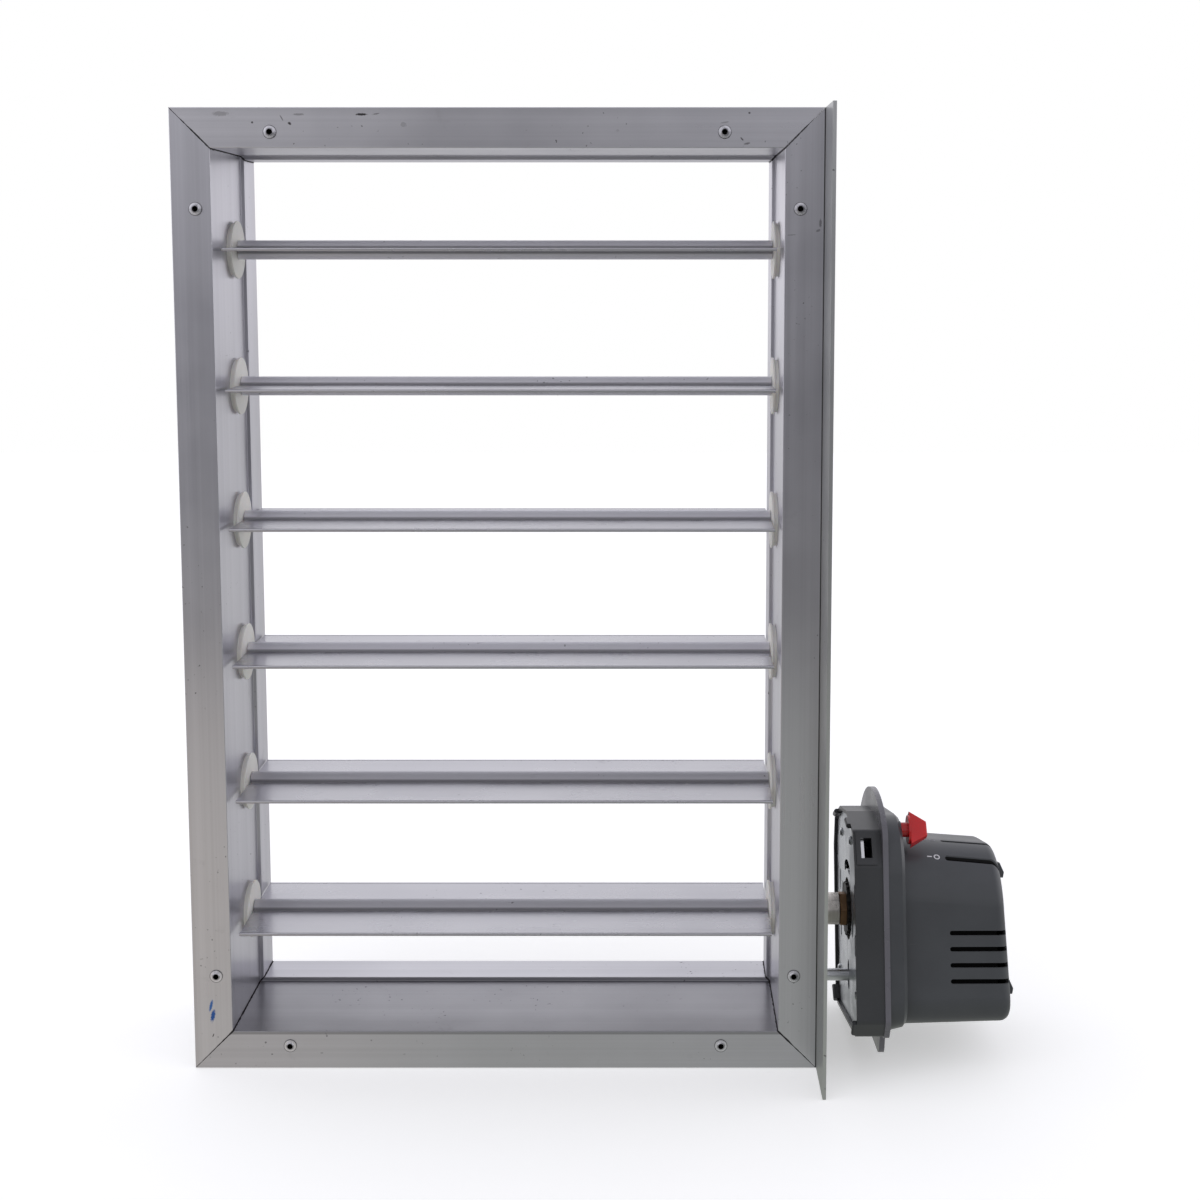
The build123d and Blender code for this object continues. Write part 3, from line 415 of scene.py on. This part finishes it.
def plated(name, level, roughness, tint, spangle=0.0):
    """Zinc-plated steel: soft blotches of bloom, fine grain, and on galvanised sheet a spangle."""
    look = Look(name, grey(level, tint), roughness, 1.0)
    bloom = look.noise(48.0, 5.0, 0.6, distortion=0.5)
    grain = look.noise(1500.0)
    tone = look.range(bloom, *MOST, 0.94, 1.06)
    if spangle:
        tone = look.times(tone, look.linear(look.flakes(110.0), 2 * spangle, 1.0 - spangle))
    rough = look.plus(look.range(bloom, *MOST, roughness - 0.05, roughness + 0.09),
                      look.times(grain, 0.05))
    return look.wear(tinted(look, tone, level, tint), rough, look.bump(grain, 0.02 * MM, 0.3))


def lathe(name, level, roughness, tint, rings_per_metre=1600.0):
    """Turned metal: fine rings round the x axis, and a little tarnish."""
    look = Look(name, grey(level, tint), roughness, 1.0)
    rings = look.noise(by_axis("X", rings_per_metre, 12.0), 2.0, 0.6)
    tarnish = look.noise(70.0, 4.0, 0.6)
    tone = look.times(look.range(rings, *MOST, 0.9, 1.06),
                      look.range(tarnish, 0.3, 0.75, 1.04, 0.82))
    rough = look.range(tarnish, *MOST, roughness - 0.05, roughness + 0.12)
    return look.wear(tinted(look, tone, level, tint), rough, look.bump(rings, 0.03 * MM, 0.5))


def rivet_metal():
    """Satin aluminium: a bright flange, a pulled collar in it painted darker as shade round the
    bore, the bore painted black as shade, and a painted shadow line round the flange.
    """
    level = 0.66
    look = Look("rivet_aluminium", grey(level, LAVENDER), 0.3, 1.0)
    worn = look.noise(600.0, 3.0, 0.6)
    x, y, z = look.axes()
    right, up = look.absolute(x), look.absolute(z)
    far = [look.diagonal(look.minus(right, rivet_x * MM), look.minus(up, rivet_z * MM))
           for rivet_x, rivet_z in RIVETS]
    near = look.math("MINIMUM", *far)
    # Painted shade: the collar round the bore is darker, brightening out to the flange.
    inner, outer = RIVET_COLLAR
    tone = look.times(look.range(worn, *MOST, 0.9, 1.08),
                      look.range(near, inner * MM, outer * MM, 0.62, 1.12))
    # Painted shade: the bore painted black, and a painted shadow line round the flange's rim.
    hole = look.math("LESS_THAN", near, RIVET_HOLE * MM)
    inner, outer = RIVET_RIM
    painted_shade = look.larger(hole, look.range(near, inner * MM, outer * MM, 0.0, 0.8))
    color = look.mix(painted_shade, tinted(look, tone, level, LAVENDER), 0.004)
    rough = look.range(worn, *MOST, 0.24, 0.4)
    return look.wear(color, rough, look.bump(worn, 0.04 * MM, 0.4))


dress(plated("bracket_steel", 0.56, 0.34, (0.99, 1.0, 1.01)),
      "front_corner_brackets", "back_corner_brackets", "tie_bar", *every("crank_arm"))
dress(plated("screw_zinc", 0.62, 0.25, (0.98, 1.0, 1.03)), "torque_stud", "stud_nuts",
      "side_plate_screws", "actuator_base_screws", "actuator_cover_screws")
dress(plated("zinc_plate", 0.52, 0.27, (0.95, 0.99, 1.04), 0.05), "actuator_base_plate")
dress(plated("motor_steel", 0.5, 0.3, (1.0, 1.0, 1.0)), "motor")
dress(lathe("shaft_steel", 0.52, 0.28, (1.0, 1.0, 1.0)), *every("spindles"), *every("crank_pin"))
dress(lathe("sleeve_steel", 0.58, 0.24, (1.05, 1.0, 0.93), 700.0), "drive_sleeve")
dress(lathe("bronze", 0.20, 0.42, (1.45, 0.88, 0.50)), "clamp_nut")
dress(rivet_metal(), "front_corner_rivets", "back_corner_rivets")


# ---- the actuator's cover ------------------------------------------------------------------------

# The housing's own frame, in millimetres: x along the shaft, y across, and z up from the shaft.
HOUSING_Z = -250.0
TILT = math.radians(-13.0)
COS, SIN = math.cos(TILT), math.sin(TILT)
COVER_X = 289.0                 # where the cover's outline starts
COVER_END = 366.5
COVER_LEAN = math.radians(2.7)  # of its closed end
COVER_TOP, COVER_LOW, COVER_HALF = 56.5, -76.0, 61.5
COVER_TOP_RADIUS, COVER_LOW_RADIUS, COVER_END_RADIUS = 42.0, 20.0, 7.0
COVER_FALL, COVER_RISE, COVER_DRAW = 0.0679, 0.0254, 0.0170    # its slopes along the shaft
LINER_FOOT = 24.0               # the liner hangs down to this far above the cover's bottom


def housing(x, y, z):
    """A place in the housing's own frame, in the scene's metres."""
    return Vector((x, y * COS - z * SIN, y * SIN + z * COS + HOUSING_Z)) * MM


def cover_top(x):
    return COVER_TOP - COVER_FALL * (x - COVER_X)


def cover_half(x):
    return COVER_HALF - COVER_DRAW * (x - COVER_X)


def past_edge(look, one, other, radius):
    """How far a place lies outside two faces that meet in a round edge, from how far past each."""
    one = look.larger(look.plus(one, radius), 0.0)
    other = look.larger(look.plus(other, radius), 0.0)
    return look.minus(look.diagonal(one, other), radius)


def inside_cover(look):
    """1 on the cover's inner faces and in its vent slots, which are painted black as shade, 0 on
    its outer skin.
    """
    skin_start, skin_end = -0.0005, -0.0009    # the depths over which the outer skin ends
    x, y, z = look.axes()
    z = look.minus(z, HOUSING_Z * MM)
    across = look.absolute(look.plus(look.times(y, COS), look.times(z, SIN)))
    up = look.minus(look.times(z, COS), look.times(y, SIN))
    top = look.linear(x, -COVER_FALL, (COVER_TOP + COVER_FALL * COVER_X) * MM)
    low = look.linear(x, COVER_RISE, (COVER_LOW - COVER_RISE * COVER_X) * MM)
    half = look.linear(x, -COVER_DRAW, (COVER_HALF + COVER_DRAW * COVER_X) * MM)
    beside = look.minus(across, half)
    upper = past_edge(look, beside, look.minus(up, top), COVER_TOP_RADIUS * MM)
    lower = past_edge(look, beside, look.minus(low, up), COVER_LOW_RADIUS * MM)
    lean = math.tan(COVER_LEAN)
    end = look.linear(up, lean, (-COVER_END - lean * (COVER_TOP + COVER_LOW) / 2) * MM)
    depth = past_edge(look, look.plus(x, end), look.larger(upper, lower), COVER_END_RADIUS * MM)
    on_cover = look.math("GREATER_THAN", x, (COVER_X + 4.0) * MM)
    return look.times(on_cover, look.range(depth, skin_start, skin_end))


# ---- plastics ------------------------------------------------------------------------------------


def moulded(name, color, roughness, texture=0.05, grain=2600.0, mottle=0.08, scratches=0.0,
            inside=None, **sockets):
    """Moulded plastic: a fine spark-eroded grain, a slight mottle and a few hair scratches.

    texture is the grain's depth in millimetres, and grain its features per metre. inside gives the
    share of each place that is painted black, as shade inside the part, and dull.
    """
    look = Look(name, color, roughness, **sockets)
    fine = look.noise(grain, 2.0, 0.6)
    soft = look.noise(22.0, 4.0, 0.6)
    shade = look.ramp(look.range(soft, *MOST),
                      (0.0, grey(1.0 - mottle, color)), (1.0, grey(1.0 + mottle, color)))
    if scratches:
        hair = look.noise(by_axis("Z", 900.0, 26.0), distortion=0.8)
        scratch = look.times(look.range(hair, 0.73, 0.76), look.range(look.noise(19.0), 0.6, 0.7))
        shade = look.mix(look.times(scratch, scratches), shade, (0.5, 0.5, 0.52))
    rough = look.range(soft, *MOST, roughness - 0.05, roughness + 0.06)
    if inside:
        # Painted shade: the cover's inner faces and vent slots are painted black.
        painted_shade = inside(look)
        shade = look.mix(painted_shade, shade, 0.002)
        rough = look.larger(rough, painted_shade)
    return look.wear(shade, rough, look.bump(fine, texture * MM, 0.5))


dress(moulded("cover_plastic", (0.055, 0.059, 0.066), 0.34, scratches=0.25, inside=inside_cover,
              Specular_IOR_Level=0.6), "actuator_cover", "cover_latches")
dress(moulded("tray_plastic", (0.042, 0.044, 0.048), 0.36, scratches=0.25), "actuator_tray")
dress(moulded("flange_plastic", (0.155, 0.150, 0.172), 0.3, scratches=0.25), "actuator_ear_flange")
dress(moulded("black_hub", (0.012, 0.011, 0.011), 0.5), "drive_hub")
dress(moulded("knob_red", (0.60, 0.008, 0.012), 0.24, 0.02, mottle=0.1, Coat_Weight=0.15,
              Coat_Roughness=0.25), "release_knob")
dress(moulded("nylon", (0.93, 0.91, 0.85), 0.45, 0.03, 1200.0, 0.05, Subsurface_Weight=0.15,
              Subsurface_Radius=(0.004, 0.003, 0.002), Subsurface_Scale=0.5),
      "left_bushes", "right_bushes", "tie_bar_bushes")
dress(moulded("gear_plastic", (0.74, 0.66, 0.47), 0.4, 0.03, 1500.0),
      "drive_gear", "motor_pinion")
dress(moulded("board_green", (0.02, 0.12, 0.055), 0.35, 0.03, 700.0, 0.2), "circuit_board")
dress(moulded("terminal_plastic", (0.035, 0.17, 0.10), 0.4), "terminal_block")


# ---- small pieces --------------------------------------------------------------------------------

SHARP = 0.6    # radians between two faces that a bevel rounds


def piece(name, build, material, bevel=0.0):
    """A mesh that rides on the frame's body. build fills the bmesh, and bevel is in millimetres."""
    mesh = bpy.data.meshes.new(name)
    made = bmesh.new()
    build(made)
    bmesh.ops.recalc_face_normals(made, faces=made.faces)
    if bevel:
        sharp = [edge for edge in made.edges if edge.calc_face_angle(0.0) > SHARP]
        bmesh.ops.bevel(made, geom=sharp, offset=bevel * MM, segments=2, affect="EDGES",
                        clamp_overlap=True)
    made.to_mesh(mesh)
    made.free()
    mesh.materials.append(material)
    obj = bpy.data.objects.new(name, mesh)
    scene.collection.objects.link(obj)
    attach(obj, "frame")


def sweep(made, rings, closed=False):
    """Join rings of the same number of points, with a cap at each open end."""
    rows = [[made.verts.new(point) for point in ring] for ring in rings]
    count = len(rows[0])
    for k in range(len(rows) if closed else len(rows) - 1):
        one, two = rows[k], rows[(k + 1) % len(rows)]
        for i in range(count):
            j = (i + 1) % count
            made.faces.new((one[i], one[j], two[j], two[i]))
    if not closed:
        made.faces.new(rows[0])
        made.faces.new(rows[-1])


def turns(count):
    return [2 * math.pi * k / count for k in range(count)]


def arch(x, inset):
    """The cover's outline at x, from one lower corner over the top to the other."""
    half, top = cover_half(x) - inset, cover_top(x) - inset
    radius = COVER_TOP_RADIUS - inset
    corner = [math.radians(degrees) for degrees in range(0, 91, 5)]
    side = [(half, COVER_LOW + LINER_FOOT)]
    side += [(half - radius + radius * math.cos(a), top - radius + radius * math.sin(a))
             for a in corner]
    return side + [(-y, z) for y, z in reversed(side)]


def liner(made):
    """A black sheet inside the cover, with its closed end: painted shade that darkens the vent
    slots.
    """
    # round its wall: the place along the shaft, and how far inside the cover's outline
    section = ((303.0, 3.6), (358.8, 3.6), (359.5, 4.4), (359.5, 14.0), (359.1, 14.0),
               (359.0, 4.8), (358.4, 4.0), (303.0, 4.0))
    arches = [[housing(x, y, z) for y, z in arch(x, inset)] for x, inset in section]
    sweep(made, list(zip(*arches)))


def print_mark(made, y):
    """A line and a ring, printed on the cover's upper corner, y millimetres across."""
    x, radius = 318.2, COVER_TOP_RADIUS
    lean = math.asin((abs(y) - (cover_half(x) - radius)) / radius)
    under, over = -0.05, 0.1    # the ink reaches from just under the skin to just over it
    hole, rim = 1.45, 2.3

    def on_skin(u, v, height):
        turn = lean + v / radius
        reach = radius + height
        return housing(x + u, -(cover_half(x + u) - radius + reach * math.sin(turn)),
                       cover_top(x + u) - radius + reach * math.cos(turn))

    ring = ((hole, under), (hole, over), (rim, over), (rim, under))
    sweep(made, [[on_skin(r * math.cos(a), r * math.sin(a), height) for r, height in ring]
                 for a in turns(24)], closed=True)
    line = ((-7.2, 0.2), (-7.0, 0.5), (-3.8, 0.5), (-3.6, 0.2))    # places along it, half widths
    sweep(made, [[on_skin(u, -half, under), on_skin(u, -half, over),
                  on_skin(u, half, over), on_skin(u, half, under)] for u, half in line])


def tabs(made):
    """Two lugs, bent up from the base plate's rim, that show in the tray's windows."""
    foot, shoulder = Vector((72.0, 40.0)), Vector((61.0, 64.5))    # the ends of the tray's slope
    along = (shoulder - foot).normalized()
    middle = (foot + shoulder) / 2
    outline = ((257.2, -7.4), (261.9, -7.4), (262.5, -6.8), (262.5, 6.8), (261.9, 7.4),
               (257.2, 7.4))
    for side in (-1.0, 1.0):
        rings = []
        for depth in (3.05, 4.15):
            ring = []
            for x, up in outline:
                y = middle.x + up * along.x - depth * along.y
                z = middle.y + up * along.y + depth * along.x
                ring.append(housing(x, side * y, z))
            rings.append(ring)
        sweep(made, rings)


def stems(made):
    """The broken-off pins that stay in the rivets' bores."""
    front = 60.0
    # how deep each ring lies behind the flange's front, and its radius
    profile = ((2.4, 0.35), (2.0, 0.9), (2.3, 1.3), (2.8, 1.55), (5.5, 1.55), (6.0, 1.2))
    places = [(x * right, side, z * up) for side in (-1.0, 1.0) for right, up in RIVETS
              for x in (-1.0, 1.0) for z in (-1.0, 1.0)]
    for x, side, z in places:
        sweep(made, [[Vector((x + radius * math.cos(a), side * (front - depth),
                              z + radius * math.sin(a))) * MM for a in turns(12)]
                     for depth, radius in profile])


# The vent liner is a near-black sheet of painted shade behind the vent slots.
piece("vent_shade_sheet", liner, moulded("vent_shade_black", grey(0.004), 0.9, Specular_IOR_Level=0.1))
piece("cover_mark_near", lambda made: print_mark(made, -47.0),
      moulded("mark_white", (0.62, 0.62, 0.65), 0.5, mottle=0.2))
piece("cover_mark_far", lambda made: print_mark(made, -27.0),
      moulded("mark_grey", (0.20, 0.20, 0.22), 0.5, mottle=0.2))
piece("base_plate_tabs", tabs, plated("tab_zinc", 0.80, 0.25, (1.0, 1.0, 1.03)), 0.25)
# The stems are painted near-black, as the shade deep in the rivets' bores.
piece("rivet_stems", stems, lathe("stem_shade_black", 0.03, 0.5, (1.0, 0.98, 0.95)))


# ---- floor, light and camera ---------------------------------------------------------------------


def floor():
    """A pale floor: seen it is white with a soft shadow, and to the metal it is a lit sweep."""
    size = (5.0, 5.25, 1.0)
    middle = (0.0, 1.375, cad_box[0][2] - 0.0005)
    bpy.ops.mesh.primitive_plane_add(size=1.0, location=middle)
    plane = bpy.context.object
    plane.name = "floor"
    plane.scale = size
    look = Look("floor_white", grey(0.0), 1.0, Emission_Strength=1.0, Specular_IOR_Level=0.0)
    seen = look.add("LightPath").outputs["Is Camera Ray"]
    x, y, _ = look.split(look.stretch(size))
    near = look.ramp(look.range(x, -0.4, 0.5), (0.0, (0.62, 0.585, 0.54)),
                     (0.35, (0.47, 0.48, 0.45)), (1.0, (0.39, 0.405, 0.385)))
    front_strip = (-1.43, -1.25)    # the sweep is paler behind its front strip
    sweep_glow = look.mix(look.range(y, *front_strip), near, (0.68, 0.68, 0.69))
    look.put(look.shader.inputs["Base Color"], look.mix(seen, 0.0, 0.8))
    look.put(look.shader.inputs["Emission Color"], look.mix(seen, sweep_glow, 0.42))
    plane.data.materials.append(look.material)


def world():
    """A white studio: bright behind and overhead, darker on the camera's side, and lit below.

    Each level goes with a direction's height, its side or how far ahead it is, all from 0 to 1.
    """
    sky = bpy.data.worlds.new("studio")
    sky.use_nodes = True
    sky.node_tree.nodes.clear()
    scene.world = sky
    studio = Tree(sky.node_tree)
    direction = studio.add("TexCoord").outputs["Generated"]
    side, ahead, height = (studio.node("MapRange", part, -1.0, 1.0)
                           for part in studio.split(direction))

    behind = studio.ramp(height, (0.0, 0.55), (0.46, (0.66, 0.66, 0.67)),
                         (0.5, (0.92, 0.91, 0.95)), (0.55, (0.92, 0.91, 0.95)),
                         (0.70, (0.88, 0.88, 0.91)), (0.80, (0.95, 0.95, 1.0)),
                         (0.88, (0.78, 0.78, 0.84)), (1.0, (0.50, 0.50, 0.53)))
    spread = studio.ramp(side, (0.0, 1.5), (0.2, 1.1), (0.37, 1.05), (0.44, 1.24), (0.5, 1.14),
                         (0.63, 0.88), (0.8, 1.0), (1.0, 1.6))
    behind = studio.mix(1.0, behind, spread, "MULTIPLY")

    facing = studio.ramp(height, (0.0, (0.40, 0.41, 0.39)), (0.38, 0.28),
                         (0.42, (0.19, 0.19, 0.20)), (0.505, (0.18, 0.18, 0.195)),
                         (0.53, (0.32, 0.32, 0.34)), (0.56, (0.43, 0.43, 0.45)),
                         (0.66, (0.42, 0.42, 0.44)), (0.8, (0.36, 0.36, 0.38)),
                         (1.0, (0.34, 0.34, 0.36)))
    sideways = studio.ramp(side, (0.0, 2.2), (0.25, 2.0), (0.33, 1.7), (0.37, 1.45),
                           (0.413, 0.95), (0.456, 0.82), (0.55, 0.82), (0.65, 0.8),
                           (0.78, 1.1), (1.0, 2.0))
    facing = studio.mix(1.0, facing, sideways, "MULTIPLY")
    above = studio.ramp(height, (0.52, 0.0), (0.57, 1.0))
    right = studio.ramp(side, (0.44, 1.0), (0.5, 1.5), (0.54, 2.3), (0.62, 2.3), (0.8, 1.2))
    facing = studio.mix(above, facing, studio.mix(1.0, facing, right, "MULTIPLY"))

    turn = studio.ramp(ahead, (0.0, 1.0), (0.15, 1.0), (0.42, 0.0), (1.0, 0.0))
    lit = studio.node("Background", studio.mix(turn, behind, facing))
    plain = studio.node("Background", rgba(1.0))
    seen = studio.add("LightPath").outputs["Is Camera Ray"]
    out = studio.add("OutputWorld")
    studio.put(out.inputs[0], studio.node("MixShader", seen, lit, plain))


def softbox(name, place, aim, size, power):
    light = bpy.data.lights.new(name, "AREA")
    light.shape = "RECTANGLE"
    light.size, light.size_y = size
    light.energy = power
    lamp = bpy.data.objects.new(name, light)
    scene.collection.objects.link(lamp)
    lamp.location = place
    lamp.rotation_euler = (Vector(aim) - Vector(place)).to_track_quat("-Z", "Y").to_euler()


def camera():
    """A view from the front, near the top and a little to the right, with a shifted lens."""
    pitch = 5.9    # degrees down
    data = bpy.data.cameras.new("camera")
    data.lens = 51.02
    data.sensor_width = 36.0
    data.shift_x, data.shift_y = -0.0428, -0.1344
    data.clip_start, data.clip_end = 0.05, 50.0
    eye = bpy.data.objects.new("camera", data)
    scene.collection.objects.link(eye)
    eye.location = (0.107, -1.256, 0.2405)
    eye.rotation_euler = (math.radians(90.0 - pitch), 0.0, 0.0)
    scene.camera = eye


floor()
world()
softbox("key", (-0.6, -0.9, 1.9), (0.05, 0.0, 0.0), (1.6, 1.2), 3.0)
camera()
scene.view_settings.view_transform = "Standard"
